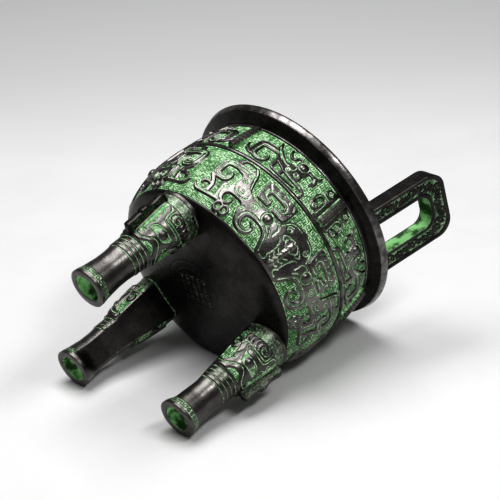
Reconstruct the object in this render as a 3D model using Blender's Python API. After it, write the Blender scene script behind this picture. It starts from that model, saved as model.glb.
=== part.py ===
"""A round bronze ding: a lipped bowl on three legs, with two loop handles, cast in one piece.

It stands on its feet. The origin is on the bowl's axis at floor level, +Z is up, the handles
lie along X, and the single front leg points along -Y.
"""

import math

import bmesh
import bpy
from mathutils import Vector

MM = 0.001

# The bowl, with heights measured up from the floor and radii out from the axis
RIM_HEIGHT = 168.0 * MM
LIP_RADIUS = 80.0 * MM
LIP_EDGE = 4.8 * MM
LIP_LEAN = 1.6 * MM
NECK_DROP = 9.2 * MM
NECK_RIDGE_RADIUS = 70.8 * MM
NECK_RIDGE = 1.4 * MM
NECK_RADIUS = 69.4 * MM
RIB_HEIGHT = 129.4 * MM
RIB_WIDTH = 3.4 * MM
RIB_PROUD = 1.0 * MM
BELLY_RADIUS = 74.4 * MM
BELLY_HEIGHT = 112.0 * MM
EDGE_RADIUS = 68.4 * MM
EDGE_HEIGHT = 85.2 * MM
BASE_DEPTH = 10.2 * MM
WALL = 3.8 * MM
FLOOR_THICKNESS = 4.4 * MM
BOWL_SIDES = 36

# The legs
LEG_COUNT = 3
FRONT_LEG = -90.0
LEG_REACH = 55.4 * MM
FOOT_RADIUS = 13.3 * MM
SHAFT_RADIUS = 11.1 * MM
RING_RADIUS = 12.1 * MM
JAW_RADIUS = 13.2 * MM
SHOULDER_RADIUS = 16.4 * MM
FOOT_BAND_TOP = 7.0 * MM
RINGS_START = 29.0 * MM
RINGS_END = 39.4 * MM
RING_COUNT = 3
MASK_BOTTOM = 40.8 * MM
SHOULDER_HEIGHT = 68.0 * MM
MASK_TOP = 80.4 * MM
LEG_FLAT_HALF_ANGLE = 45.0
LEG_SIDES = 12
LEG_SINK = 2.0 * MM
RECESS_DEPTH = 5.0 * MM
RECESS_SHARE = 0.66

# The hooked flange on each leg, and the notched bars on the frieze
FLANGE_THICKNESS = 4.6 * MM
FLANGE_REACH = 22.4 * MM
FLANGE_HEIGHT = 32.5 * MM
BAR_THICKNESS = 3.2 * MM
BAR_PROUD = 4.6 * MM
BAR_END_GAP = 0.6 * MM
BAR_NOTCHES = 4
BAR_NOTCH_DEPTH = 0.7 * MM

# The loop handles
HANDLE_AZIMUTHS = (0.0, 180.0)
HANDLE_FACE = 75.7 * MM
HANDLE_THICKNESS = 11.0 * MM
HANDLE_HEIGHT = 54.1 * MM
HANDLE_HALF_WIDTH = 23.4 * MM
HANDLE_BAR = 11.6 * MM
HANDLE_TOP_BAR = 12.5 * MM
HANDLE_CORNER = 11.0 * MM
HANDLE_FLARE = 0.19
HANDLE_SINK = 2.4 * MM
PANEL_BORDER = 1.8 * MM
PANEL_DEPTH = 0.8 * MM

# The raised ornament, drawn on grids of about a millimetre that stretch with their bands
RELIEF = 1.2 * MM
ROOT = 0.9 * MM
MASK_AZIMUTHS = (-30.0, 90.0, 210.0)
BOSS_RADIUS = 3.3 * MM
HALF_SECTOR = 60.0
HALF_SECTOR_GRID = 78.0
BELLY_GRID = 42.0
FRIEZE_GRID = 26.0
LEG_GRID = 39.6
LEG_GRID_RADIUS = 14.0


def clear_scene():
    """Removes every object that is there at the start."""
    for item in list(bpy.data.objects):
        bpy.data.objects.remove(item, do_unlink=True)


def bronze():
    """Cast bronze with a black-brown patina."""
    material = bpy.data.materials.new("patinated bronze")
    material.use_nodes = True
    shader = material.node_tree.nodes["Principled BSDF"]
    shader.inputs["Base Color"].default_value = (0.035, 0.06, 0.035, 1.0)
    shader.inputs["Roughness"].default_value = 0.4
    shader.inputs["Metallic"].default_value = 0.6
    return material


def new_object(name, bm, material):
    """Turns a bmesh into an object with smooth round faces and outward normals."""
    bmesh.ops.recalc_face_normals(bm, faces=bm.faces)
    mesh = bpy.data.meshes.new(name)
    bm.to_mesh(mesh)
    bm.free()
    mesh.materials.append(material)
    mesh.shade_smooth()
    mesh.set_sharp_from_angle(angle=math.radians(32.0))
    item = bpy.data.objects.new(name, mesh)
    bpy.context.collection.objects.link(item)
    return item


def add_union(target, tool, label):
    """Joins a hidden shape into the casting with an exact union."""
    tool.hide_render = True
    tool.display_type = "WIRE"
    step = target.modifiers.new(label, "BOOLEAN")
    step.operation = "UNION"
    step.solver = "EXACT"
    step.use_self = True
    step.object = tool


def swept(bm, outlines):
    """A closed solid through matching outlines, made by extruding the first one from each to the next."""
    face = bm.faces.new([bm.verts.new(point) for point in outlines[0]])
    start = list(face.verts)
    for outline in outlines[1:]:
        face = bmesh.ops.extrude_discrete_faces(bm, faces=[face])["faces"][0]
        for vert, point in zip(face.verts, outline):
            vert.co = point
    bm.faces.new(reversed(start))


def arc(centre, radius, start, end, steps, end_radius=None):
    """Points along an arc in degrees, or along a spiral where the radius changes."""
    last = radius if end_radius is None else end_radius
    points = []
    for step in range(steps + 1):
        share = step / steps
        angle = math.radians(start + (end - start) * share)
        reach = radius + (last - radius) * share
        points.append((centre[0] + reach * math.cos(angle), centre[1] + reach * math.sin(angle)))
    return points


def bowl_radius(height):
    """The bowl's outer radius between its lower edge and its neck."""
    if height > BELLY_HEIGHT:
        share = (height - BELLY_HEIGHT) / (RIM_HEIGHT - NECK_DROP - BELLY_HEIGHT)
        return BELLY_RADIUS - (BELLY_RADIUS - NECK_RADIUS) * share ** 2
    share = (BELLY_HEIGHT - height) / (BELLY_HEIGHT - EDGE_HEIGHT)
    return BELLY_RADIUS - (BELLY_RADIUS - EDGE_RADIUS) * share ** 2


def base_height(radius, edge_radius=EDGE_RADIUS):
    """The height of the rounded base at a radius, from its middle out to the bowl's lower edge."""
    share = min(1.0, radius / edge_radius)
    return EDGE_HEIGHT - BASE_DEPTH * math.sqrt(1.0 - share ** 2)


def belly_band():
    """The lowest and highest point of the wide band on the belly."""
    return EDGE_HEIGHT, RIB_HEIGHT - RIB_WIDTH / 2


def frieze_band():
    """The lowest and highest point of the narrow band below the neck."""
    return RIB_HEIGHT + RIB_WIDTH / 2, RIM_HEIGHT - NECK_DROP - NECK_RIDGE


def outer_profile():
    """The outside of the bowl from the middle of its base up to the rim."""
    points = [(EDGE_RADIUS * share, base_height(EDGE_RADIUS * share)) for share in (0.0, 0.5, 0.85)]
    low, high = belly_band()
    for step in range(4):
        height = low + (high - low) * step / 3
        points.append((bowl_radius(height), height))
    rib_radius = bowl_radius(RIB_HEIGHT) + RIB_PROUD
    points.append((rib_radius, RIB_HEIGHT - 0.3 * RIB_WIDTH))
    points.append((rib_radius, RIB_HEIGHT + 0.3 * RIB_WIDTH))
    low, high = frieze_band()
    for step in range(3):
        height = low + (high - low) * step / 2
        points.append((bowl_radius(height), height))
    points.append((NECK_RIDGE_RADIUS, RIM_HEIGHT - NECK_DROP))
    points.append((LIP_RADIUS - LIP_LEAN, RIM_HEIGHT - LIP_EDGE))
    points.append((LIP_RADIUS, RIM_HEIGHT))
    return points


def inner_profile():
    """The inside of the bowl from the rim down to the middle of its floor."""
    points = [(NECK_RADIUS - WALL, RIM_HEIGHT)]
    for height in (RIM_HEIGHT - NECK_DROP, 0.5 * (RIB_HEIGHT + BELLY_HEIGHT), 0.5 * (BELLY_HEIGHT + EDGE_HEIGHT)):
        points.append((bowl_radius(height) - WALL, height))
    inner_edge = EDGE_RADIUS - WALL
    for share in (0.97, 0.65, 0.0):
        points.append((inner_edge * share, base_height(inner_edge * share, inner_edge) + FLOOR_THICKNESS))
    return points


def bowl(material):
    """The hollow bowl, turned round its axis."""
    bm = bmesh.new()
    profile = outer_profile() + inner_profile()
    verts = [bm.verts.new((radius, 0.0, height)) for radius, height in profile]
    edges = [bm.edges.new(pair) for pair in zip(verts, verts[1:])]
    bmesh.ops.spin(bm, geom=verts + edges, cent=(0.0, 0.0, 0.0), axis=(0.0, 0.0, 1.0),
                   angle=2.0 * math.pi, steps=BOWL_SIDES, use_merge=True)
    bmesh.ops.remove_doubles(bm, verts=bm.verts, dist=0.00001)
    return new_object("ding_vessel", bm, material)


def on_band(azimuth, side, band, grid_height):
    """Gives the point on the bowl for a place on a band's grid, counted from a mask's middle."""
    low, high = band

    def place(along, rise, proud):
        angle = math.radians(azimuth + side * HALF_SECTOR * along / HALF_SECTOR_GRID)
        height = low + (high - low) * rise / grid_height
        radius = bowl_radius(height) + proud
        return Vector((radius * math.cos(angle), radius * math.sin(angle), height))
    return place


def leg_profile():
    """Heights up a leg with the radius of its round side at each."""
    pitch = (RINGS_END - RINGS_START) / RING_COUNT
    points = [(0.0, FOOT_RADIUS), (FOOT_BAND_TOP, 0.4 * SHAFT_RADIUS + 0.6 * FOOT_RADIUS),
              (0.6 * RINGS_START, SHAFT_RADIUS), (RINGS_START, SHAFT_RADIUS)]
    for ring in range(RING_COUNT):
        height = RINGS_START + ring * pitch
        points.append((height + 0.5 * pitch, RING_RADIUS))
        points.append((height + pitch, SHAFT_RADIUS))
    points.append((MASK_BOTTOM, JAW_RADIUS))
    points.append((0.5 * (MASK_BOTTOM + SHOULDER_HEIGHT), 0.4 * JAW_RADIUS + 0.6 * SHOULDER_RADIUS))
    points.append((SHOULDER_HEIGHT, SHOULDER_RADIUS))
    return points


def leg_radius(height):
    """The radius of a leg's round side, read along its profile."""
    points = leg_profile()
    for (low, low_radius), (high, high_radius) in zip(points, points[1:]):
        if low <= height <= high:
            return low_radius + (high_radius - low_radius) * (height - low) / (high - low)
    return SHOULDER_RADIUS


def leg_point(azimuth, angle, radius, height):
    """A point of a leg, by the angle round its own axis from the outward side."""
    turn = math.radians(azimuth)
    out = LEG_REACH + radius * math.cos(angle)
    across = radius * math.sin(angle)
    return Vector((out * math.cos(turn) - across * math.sin(turn),
                   out * math.sin(turn) + across * math.cos(turn), height))


def leg_outline(azimuth, radius, height):
    """One D-shaped section: round outside, flat towards the bowl's axis."""
    reach = math.radians(180.0 - LEG_FLAT_HALF_ANGLE)
    angles = [reach * (2.0 * step / (LEG_SIDES - 1) - 1.0) for step in range(LEG_SIDES)]
    return [leg_point(azimuth, angle, radius, height) for angle in angles]


def add_leg(bm, azimuth):
    """A leg with a shallow recess in its foot, ending inside the bowl's base."""
    outlines = [leg_outline(azimuth, (RECESS_SHARE - 0.14) * FOOT_RADIUS, RECESS_DEPTH),
                leg_outline(azimuth, RECESS_SHARE * FOOT_RADIUS, 0.0)]
    outlines += [leg_outline(azimuth, radius, height) for height, radius in leg_profile()]
    for radius, limit in ((SHOULDER_RADIUS, MASK_TOP), (0.7 * SHOULDER_RADIUS, EDGE_HEIGHT)):
        top = leg_outline(azimuth, radius, limit)
        for point in top:
            point.z = min(limit, base_height(math.hypot(point.x, point.y)) + LEG_SINK)
        outlines.append(top)
    swept(bm, outlines)


def add_leg_flange(bm, azimuth):
    """The hooked plate that stands out from the middle of a leg's mask."""
    shares = ((0.3, -0.06), (0.66, -0.02), (0.91, 0.0), (0.93, 0.3), (1.0, 0.42), (1.0, 0.52),
              (0.95, 0.66), (0.99, 0.9), (0.96, 0.97), (0.7, 1.0), (0.3, 1.0))
    halves = []
    for across in (-FLANGE_THICKNESS / 2, FLANGE_THICKNESS / 2):
        half = []
        for out_share, rise_share in shares:
            out = out_share * FLANGE_REACH
            height = MASK_BOTTOM + rise_share * FLANGE_HEIGHT
            half.append(leg_point(azimuth, math.atan2(across, out), math.hypot(across, out), height))
        halves.append(half)
    swept(bm, halves)


def add_bar(bm, azimuth):
    """A bar with notched sides that stands on the frieze, with its root in the bowl's wall."""
    low, high = frieze_band()
    turn = math.radians(azimuth)
    outlines = []
    for step in range(2 * BAR_NOTCHES + 1):
        height = low + BAR_END_GAP + (high - low - 2.0 * BAR_END_GAP) * step / (2 * BAR_NOTCHES)
        half = BAR_THICKNESS / 2 - (BAR_NOTCH_DEPTH if step % 2 else 0.0)
        outline = []
        for proud, across in ((-ROOT, -half), (BAR_PROUD, -half), (BAR_PROUD, half), (-ROOT, half)):
            out = bowl_radius(height) + proud
            outline.append(Vector((out * math.cos(turn) - across * math.sin(turn),
                                   out * math.sin(turn) + across * math.cos(turn), height)))
        outlines.append(outline)
    swept(bm, outlines)


def handle_point(azimuth, across, rise, inward):
    """A point of a handle: across its face, up from the rim, and inward from its outer face."""
    turn = math.radians(azimuth)
    out = HANDLE_FACE + HANDLE_FLARE * rise - inward
    return Vector((out * math.cos(turn) - across * math.sin(turn),
                   out * math.sin(turn) + across * math.cos(turn), RIM_HEIGHT + rise))


def arch(half_width, top, corner, steps=3):
    """One side's foot, up and over to the other foot, with round corners."""
    flat = half_width - corner
    right = [(half_width, -HANDLE_SINK), (half_width, 0.4 * top)]
    right += arc((flat, top - corner), corner, 0.0, 90.0, steps)
    return right + [(-across, rise) for across, rise in reversed(right)]


def add_handle(bm, azimuth):
    """A loop handle with a sunk panel between raised borders on its outer face."""
    inner_width = HANDLE_HALF_WIDTH - HANDLE_BAR
    outer = arch(HANDLE_HALF_WIDTH, HANDLE_HEIGHT, HANDLE_CORNER)
    inner = arch(inner_width, HANDLE_HEIGHT - HANDLE_TOP_BAR, 0.7 * inner_width)
    border = PANEL_BORDER / HANDLE_BAR
    section = ((0.0, HANDLE_THICKNESS), (0.0, 0.0), (border, 0.0), (border, PANEL_DEPTH),
               (1.0 - border, PANEL_DEPTH), (1.0 - border, 0.0), (1.0, 0.0), (1.0, HANDLE_THICKNESS))
    outlines = []
    for (out_across, out_rise), (in_across, in_rise) in zip(outer, inner):
        outlines.append([handle_point(azimuth, out_across + (in_across - out_across) * share,
                                      out_rise + (in_rise - out_rise) * share, inward)
                         for share, inward in section])
    swept(bm, outlines)


def side_step(path, index):
    """The direction square to a path at one of its points, lengthened at a corner."""
    before = Vector(path[max(index - 1, 0)])
    here = Vector(path[index])
    after = Vector(path[min(index + 1, len(path) - 1)])
    first = (here - before).normalized() if index else (after - here).normalized()
    second = (after - here).normalized() if index < len(path) - 1 else first
    along = (first + second).normalized()
    stretch = 1.0 / max(0.6, along.dot(first))
    return Vector((-along.y, along.x)) * stretch


def add_ribbon(bm, place, path, widths, height=RELIEF, crown=0.0):
    """A raised strip along a path on a surface, with its root sunk in, and a crown if it has one."""
    outlines = []
    for index, (along, rise) in enumerate(path):
        share = index / (len(path) - 1) * (len(widths) - 1)
        low = min(int(share), len(widths) - 2)
        width = widths[low] + (widths[low + 1] - widths[low]) * (share - low)
        step = side_step(path, index) * (width / 2)
        outline = [place(along + step.x, rise + step.y, -ROOT), place(along + step.x, rise + step.y, height)]
        if crown:
            outline.append(place(along, rise, height + crown))
        outline.append(place(along - step.x, rise - step.y, height))
        outline.append(place(along - step.x, rise - step.y, -ROOT))
        outlines.append(outline)
    swept(bm, outlines)


def add_boss(bm, place, centre, proud, share=1.0, sides=8):
    """A round eye boss with a domed top."""
    outlines = []
    for ring_share, lift in ((1.0, -ROOT), (1.0, 0.4 * proud), (0.55, proud)):
        reach = ring_share * share * BOSS_RADIUS / MM
        ring = []
        for step in range(sides):
            angle = 2.0 * math.pi * step / sides
            ring.append(place(centre[0] + reach * math.cos(angle), centre[1] + reach * math.sin(angle), lift))
        outlines.append(ring)
    swept(bm, outlines)


def add_half_mask(bm, place):
    """Half of a belly mask: jaw, horn, body with its curled tail, crest, claw and eye."""
    jaw = [(5.5, 3.0), (9.5, 4.5), (12.2, 8.8), (15.5, 12.4), (20.5, 13.8)]
    jaw += arc((27.0, 8.4), 5.6, 75.0, -185.0, 4, 3.6)
    add_ribbon(bm, place, jaw, (3.2, 3.8, 3.4, 3.0, 1.8))
    horn = [(27.0, 27.6), (33.6, 27.8), (33.4, 36.8), (24.5, 37.2), (15.4, 36.8), (15.6, 27.8), (22.0, 27.6)]
    add_ribbon(bm, place, horn, (4.6, 5.4, 5.4, 4.6))
    body = [(25.0, 19.6), (44.0, 20.5), (49.0, 27.0), (50.5, 34.0), (62.5, 34.4), (66.0, 30.0), (66.0, 24.0),
            (62.0, 21.2), (56.0, 22.0), (55.6, 26.0)]
    add_ribbon(bm, place, body, (6.4, 8.6, 6.0, 4.8, 4.8, 4.4, 3.0))
    crest = [(41.5, 26.0), (43.5, 35.0), (49.0, 40.2), (59.0, 39.4)]
    add_ribbon(bm, place, crest, (1.2, 2.4, 2.0))
    claw = [(51.6, 15.5), (53.8, 8.0), (61.0, 7.0), (69.0, 7.4), (73.0, 11.4)]
    add_ribbon(bm, place, claw, (5.0, 3.0, 2.2, 1.0))
    add_boss(bm, place, (20.3, 19.2), 2.0 * RELIEF)


def add_nose(bm, place):
    """The middle of a mask: a ridged nose that widens to its crest."""
    nose = [(0.0, 1.6), (0.0, 9.0), (0.0, 17.0), (0.0, 21.0), (0.0, 29.0), (0.0, 33.4)]
    add_ribbon(bm, place, nose, (4.0, 7.0, 10.0, 22.0, 21.0, 8.0), crown=0.8 * RELIEF)


def add_dragon(bm, place):
    """A dragon of the frieze: scroll, crest with snout, beak, collar and eye."""
    scroll = [(52.0, 16.0), (61.0, 16.0), (62.4, 14.0), (62.4, 5.0), (60.4, 3.2), (52.0, 3.4), (51.4, 9.6)]
    add_ribbon(bm, place, scroll, (2.4, 3.0, 3.0, 2.6, 1.8))
    crest = [(54.0, 24.0), (49.5, 17.6), (43.5, 12.8), (36.0, 10.6), (30.0, 5.6), (19.0, 3.4)]
    add_ribbon(bm, place, crest, (0.8, 3.2, 4.6, 5.2, 4.6, 3.2))
    add_ribbon(bm, place, [(27.5, 23.4), (21.0, 22.8), (18.8, 19.0), (21.4, 14.0)], (1.4, 3.0, 2.8, 1.4))
    add_ribbon(bm, place, [(6.4, 3.0), (6.4, 14.4), (11.0, 14.4), (11.4, 6.0)], (1.8, 1.8))
    add_boss(bm, place, (30.0, 19.4), 1.7 * RELIEF, 0.9, 6)


def on_leg(azimuth, side):
    """Gives the point on a leg's round side for a place on its mask's grid, counted from the flange."""
    def place(along, rise, proud):
        height = MASK_BOTTOM + (MASK_TOP - MASK_BOTTOM) * rise / LEG_GRID
        return leg_point(azimuth, side * along / LEG_GRID_RADIUS, leg_radius(height) + proud, height)
    return place


def add_leg_mask(bm, place):
    """Half of a leg's mask: lip, brow, curled horn and eye."""
    lip = [(2.0, 2.6), (8.0, 3.0), (15.5, 7.2), (23.0, 2.8)]
    add_ribbon(bm, place, lip, (1.8, 1.8), 0.7 * RELIEF)
    add_ribbon(bm, place, [(26.0, 21.8), (11.6, 22.0), (9.4, 24.4), (9.2, 31.0)], (1.8, 1.8), 0.7 * RELIEF)
    horn = [(25.0, 27.2), (19.5, 27.0)] + arc((14.6, 27.0), 3.0, 70.0, 300.0, 3, 1.8)
    add_ribbon(bm, place, horn, (2.6, 3.0, 2.0), 0.8 * RELIEF)
    add_boss(bm, place, (15.5, 14.4), 1.4 * RELIEF, 0.75, 6)


def add_handle_scrolls(bm, azimuth):
    """Curls in a handle's sunk panel, at each side and over the top."""
    def place(along, rise, proud):
        return handle_point(azimuth, along * MM, rise * MM, PANEL_DEPTH - proud)
    middle = (HANDLE_HALF_WIDTH - HANDLE_BAR / 2) / MM
    top = (HANDLE_HEIGHT - HANDLE_TOP_BAR / 2) / MM
    for side in (-1.0, 1.0):
        for centre in ((side * middle, 16.0), (side * 0.5 * middle, top)):
            curl = arc(centre, 3.4, 90.0, 90.0 + side * 270.0, 4, 1.8)
            add_ribbon(bm, place, curl, (1.0, 1.6, 1.2), 0.7 * PANEL_DEPTH)


def build():
    """Makes the casting: the bowl, then its limbs, then its raised ornament."""
    clear_scene()
    material = bronze()
    vessel = bowl(material)
    limbs = bmesh.new()
    for leg in range(LEG_COUNT):
        add_leg(limbs, FRONT_LEG + leg * 360.0 / LEG_COUNT)
    for azimuth in HANDLE_AZIMUTHS:
        add_handle(limbs, azimuth)
    add_union(vessel, new_object("limbs", limbs, material), "limbs")

    plates = bmesh.new()
    for leg in range(LEG_COUNT):
        add_leg_flange(plates, FRONT_LEG + leg * 360.0 / LEG_COUNT)
    for bar in range(2 * LEG_COUNT):
        add_bar(plates, FRONT_LEG + bar * 180.0 / LEG_COUNT)
    add_union(vessel, new_object("plates", plates, material), "plates")

    ornament = bmesh.new()
    for azimuth in MASK_AZIMUTHS:
        add_nose(ornament, on_band(azimuth, 1.0, belly_band(), BELLY_GRID))
        for side in (-1.0, 1.0):
            add_half_mask(ornament, on_band(azimuth, side, belly_band(), BELLY_GRID))
            add_dragon(ornament, on_band(azimuth, side, frieze_band(), FRIEZE_GRID))
    for leg in range(LEG_COUNT):
        for side in (-1.0, 1.0):
            add_leg_mask(ornament, on_leg(FRONT_LEG + leg * 360.0 / LEG_COUNT, side))
    for azimuth in HANDLE_AZIMUTHS:
        add_handle_scrolls(ornament, azimuth)
    add_union(vessel, new_object("ornament", ornament, material), "ornament")


build()
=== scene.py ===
"""How the bronze ding looks: black metal, green patina, cast ornament, and a plain studio round it.

The vessel stands upright in its own frame, as the solid does. The photograph shows it tipped on
its side, so the studio floor is a plane that touches the rim and two feet.
"""

import math

import bmesh
import bpy
import numpy as np
from mathutils import Matrix, Vector


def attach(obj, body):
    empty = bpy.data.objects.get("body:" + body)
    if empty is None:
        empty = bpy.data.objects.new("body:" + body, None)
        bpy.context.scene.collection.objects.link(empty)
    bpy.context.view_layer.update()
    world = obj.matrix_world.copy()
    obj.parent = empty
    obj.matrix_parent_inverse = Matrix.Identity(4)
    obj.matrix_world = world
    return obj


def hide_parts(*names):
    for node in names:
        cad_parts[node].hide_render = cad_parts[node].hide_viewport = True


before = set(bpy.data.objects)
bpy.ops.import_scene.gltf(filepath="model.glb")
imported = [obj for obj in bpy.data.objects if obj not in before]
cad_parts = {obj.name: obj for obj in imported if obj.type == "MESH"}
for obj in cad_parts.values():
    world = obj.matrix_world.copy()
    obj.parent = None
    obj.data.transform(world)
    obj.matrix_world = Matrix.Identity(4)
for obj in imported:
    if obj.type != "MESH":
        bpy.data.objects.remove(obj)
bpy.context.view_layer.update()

MM = 0.001

# The bowl's sizes in millimetres, heights up from the feet and radii out from the axis
RIM_HEIGHT = 168.0
LIP_RADIUS = 80.0
LIP_EDGE = 4.8
LIP_LEAN = 1.6
NECK_HEIGHT = RIM_HEIGHT - 9.2
NECK_RIDGE_RADIUS = 70.8
NECK_RADIUS = 69.4
NECK_PROUD = 1.4
RIB_HEIGHT = 129.4
RIB_WIDTH = 3.4
RIB_LOW, RIB_HIGH = RIB_HEIGHT - RIB_WIDTH / 2, RIB_HEIGHT + RIB_WIDTH / 2
RIB_PROUD = 1.0
BELLY_RADIUS = 74.4
BELLY_HEIGHT = 112.0
EDGE_RADIUS = 68.4
EDGE_HEIGHT = 85.2
BASE_DEPTH = 10.2
WALL = 3.8
FLOOR_THICKNESS = 4.4
SHELL_SINK = 1.8  # behind the ornament bands that cover the wall
SHELL_COLUMNS = 288
CASTING_RINGS = (13.0, 17.5, 22.0)

# The legs: each has a round outer side and a flat inner one, given as heights and radii
LEG_AZIMUTHS = (-90.0, 30.0, 150.0)
LEG_REACH = 55.4
LEG_PLACE_RADIUS = 14.0
FOOT_RADIUS = 13.3
FOOT_TOP = 7.0
SHAFT_RADIUS = 11.1
RING_RADIUS = 12.0
JAW_RADIUS = 12.7
SHOULDER_RADIUS = 16.4
SHOULDER_HEIGHT = 68.0
MASK_BOTTOM = 40.8
MASK_TOP = 80.4
ROUND_SIDE = ((0.0, FOOT_RADIUS), (3.0, FOOT_RADIUS - 0.2), (FOOT_TOP, 12.3), (17.0, SHAFT_RADIUS + 0.1),
              (24.0, SHAFT_RADIUS), (28.4, SHAFT_RADIUS + 0.3), (30.4, RING_RADIUS), (38.8, RING_RADIUS),
              (MASK_BOTTOM, JAW_RADIUS), (46.0, 13.6), (54.0, 14.8), (62.0, 15.8),
              (SHOULDER_HEIGHT, SHOULDER_RADIUS), (MASK_TOP, SHOULDER_RADIUS))
FLAT_SIDE = ((FOOT_TOP, 12.3), (24.0, SHAFT_RADIUS), (46.0, 13.6), (62.0, 15.8), (SHOULDER_HEIGHT, SHOULDER_RADIUS))
CORNER_DEGREES = 135.0  # from the outermost line round to where the two sides meet
ROUND_COLUMNS, FLAT_COLUMNS = 204, 24
KNEE_GROOVES = (29.4, 32.9, 36.4, 39.6)
SQUARE_PITCH, SQUARE_HEIGHT = 3.2, 4.2  # the small squares round a foot
FLANGE_THICKNESS = 4.4

# The handles
HANDLE_AZIMUTHS = (0.0, 180.0)
HANDLE_FACE = 75.7
HANDLE_THICKNESS = 11.0
HANDLE_HEIGHT = 54.1
HANDLE_HALF_WIDTH = 23.4
HANDLE_BAR = 11.6
HANDLE_TOP_BAR = 12.5
HANDLE_CORNER = 11.0
HANDLE_BEND = 9.0  # of the bar's middle line at a corner
HANDLE_FLARE = 0.19
HANDLE_SINK = 2.4  # into the rim

# The ornament repeats in mirrored halves of a sector, measured along the belly's widest ring
MASK_AZIMUTH = -28.5
HALF_SECTOR = 60.0
PLACE_RADIUS = 74.6
HALF_LENGTH = math.radians(HALF_SECTOR) * PLACE_RADIUS
RELIEF = 1.25
RELIEF_LIFT = 0.5  # the bowl carries its drawings this much lower than they are drawn
BAND_SINK = 2.6  # a band's back, inside the wall
BAND_COLUMNS = 520
THUNDER_CELL, THUNDER_TURNS = 4.5, 3.4  # a spiral's width, and the ridges across it

# How much lighter metal is painted on the high places, where 1 is the brightest metal: on the relief and the lip partly
# wear from hands and partly a painted highlight and sheen band, on the rib and the neck ridge a painted highlight
RELIEF_WEAR_AND_HIGHLIGHT, LIP_WEAR_AND_SHEEN, RIB_PAINTED_HIGHLIGHT, RIDGE_PAINTED_HIGHLIGHT = 0.5, 0.75, 0.4, 0.8


# Small sums that every surface uses

def eased(share):
    """Runs from 0 to 1 with soft ends."""
    share = np.clip(share, 0.0, 1.0)
    return share * share * (3.0 - 2.0 * share)


def smoothed(points, closed=False, steps=4):
    """A flowing line through points, as an array. A point given twice makes a corner."""
    points = np.array(points, float)
    if closed:
        before, after, beyond = (np.roll(points, shift, 0) for shift in (1, -1, -2))
        start = points
    else:
        start, after = points[:-1], points[1:]
        before, beyond = np.vstack([points[:1], points[:-2]]), np.vstack([points[2:], points[-1:]])
    t = (np.arange(steps) / steps)[None, :, None]
    a, b, c, d = (part[:, None, :] for part in (before, start, after, beyond))
    flow = b + 0.5 * t * (c - a + t * (2 * a - 5 * b + 4 * c - d + t * (3 * (b - c) + d - a)))
    flow = flow.reshape(-1, 2)
    return np.vstack([flow, flow[:1] if closed else points[-1:]])


def to_segment(u, v, start, end):
    """The distance to a straight run, and how far along it the nearest point lies."""
    dx, dy = end[0] - start[0], end[1] - start[1]
    share = np.clip(((u - start[0]) * dx + (v - start[1]) * dy) / max(dx * dx + dy * dy, 1e-9), 0.0, 1.0)
    return np.hypot(u - start[0] - share * dx, v - start[1] - share * dy), share


def band_depth(u, v, path, widths):
    """How deep each place lies inside a band drawn along a path, negative outside."""
    flow = smoothed(path)
    halves = np.interp(np.linspace(0, 1, len(flow)), np.linspace(0, 1, len(widths)), widths) / 2
    depth = np.full(u.shape, -9.0)
    for start, end, first, last in zip(flow, flow[1:], halves, halves[1:]):
        distance, share = to_segment(u, v, start, end)
        depth = np.maximum(depth, first + (last - first) * share - distance)
    return depth


def area_depth(u, v, corners):
    """How deep each place lies inside a closed outline, negative outside."""
    flow = smoothed(corners, True)
    nearest = np.full(u.shape, 99.0)
    inside = np.zeros(u.shape, bool)
    for start, end in zip(flow, flow[1:]):
        nearest = np.minimum(nearest, to_segment(u, v, start, end)[0])
        if start[1] != end[1]:
            crosses = (start[1] > v) != (end[1] > v)
            reach = start[0] + (v - start[1]) * (end[0] - start[0]) / (end[1] - start[1])
            inside ^= crosses & (u < reach)
    return np.where(inside, nearest, -nearest)


def ring_depth(u, v, centre, radius, width):
    """How deep each place lies inside a ring, negative outside."""
    return width / 2 - np.abs(np.hypot(u - centre[0], v - centre[1]) - radius)


def deepest(*depths):
    """Shapes joined: the deepest of several depths at each place."""
    return np.maximum.reduce(depths)


def line_at(distance, width=0.36):
    """A soft line where a distance passes through zero."""
    return np.exp(-(distance / width) ** 2)


def drawn(u, v, paths, width=0.36):
    """Soft lines along several paths."""
    marks = np.zeros(u.shape)
    for path in paths:
        marks = np.maximum(marks, line_at(np.minimum(0.0, band_depth(u, v, path, (0.0, 0.0))), width))
    return marks


def curl(centre, radius, start, sweep, end_radius=0.5):
    """A spiral's points, in degrees from its outer end inwards."""
    points = []
    steps = max(3, round(abs(sweep) / 45))
    for step in range(steps + 1):
        share = step / steps
        angle = math.radians(start + sweep * share)
        reach = radius + (end_radius - radius) * share
        points.append((centre[0] + reach * math.cos(angle), centre[1] + reach * math.sin(angle)))
    return points


def dome(distance, radius, height):
    """A round boss, by the distance from its middle."""
    share = np.clip(1.0 - (distance / radius) ** 2, 0.0, 1.0)
    return height * share ** 0.5


# The ornament, as heights above the ground and as patina from 0, bare metal, to 1, green

def carved(depth, cuts, height=RELIEF):
    """Raised metal with steep bare sides, and cut lines that hold patina."""
    cut = cuts * eased((depth - 0.1) / 0.4)
    rise = height * eased((depth + 0.3) / 0.7) - 0.45 * cut
    patina = np.maximum(1.0 - eased((depth + 0.65) / 0.4), 0.8 * cut)
    return rise, patina


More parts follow.
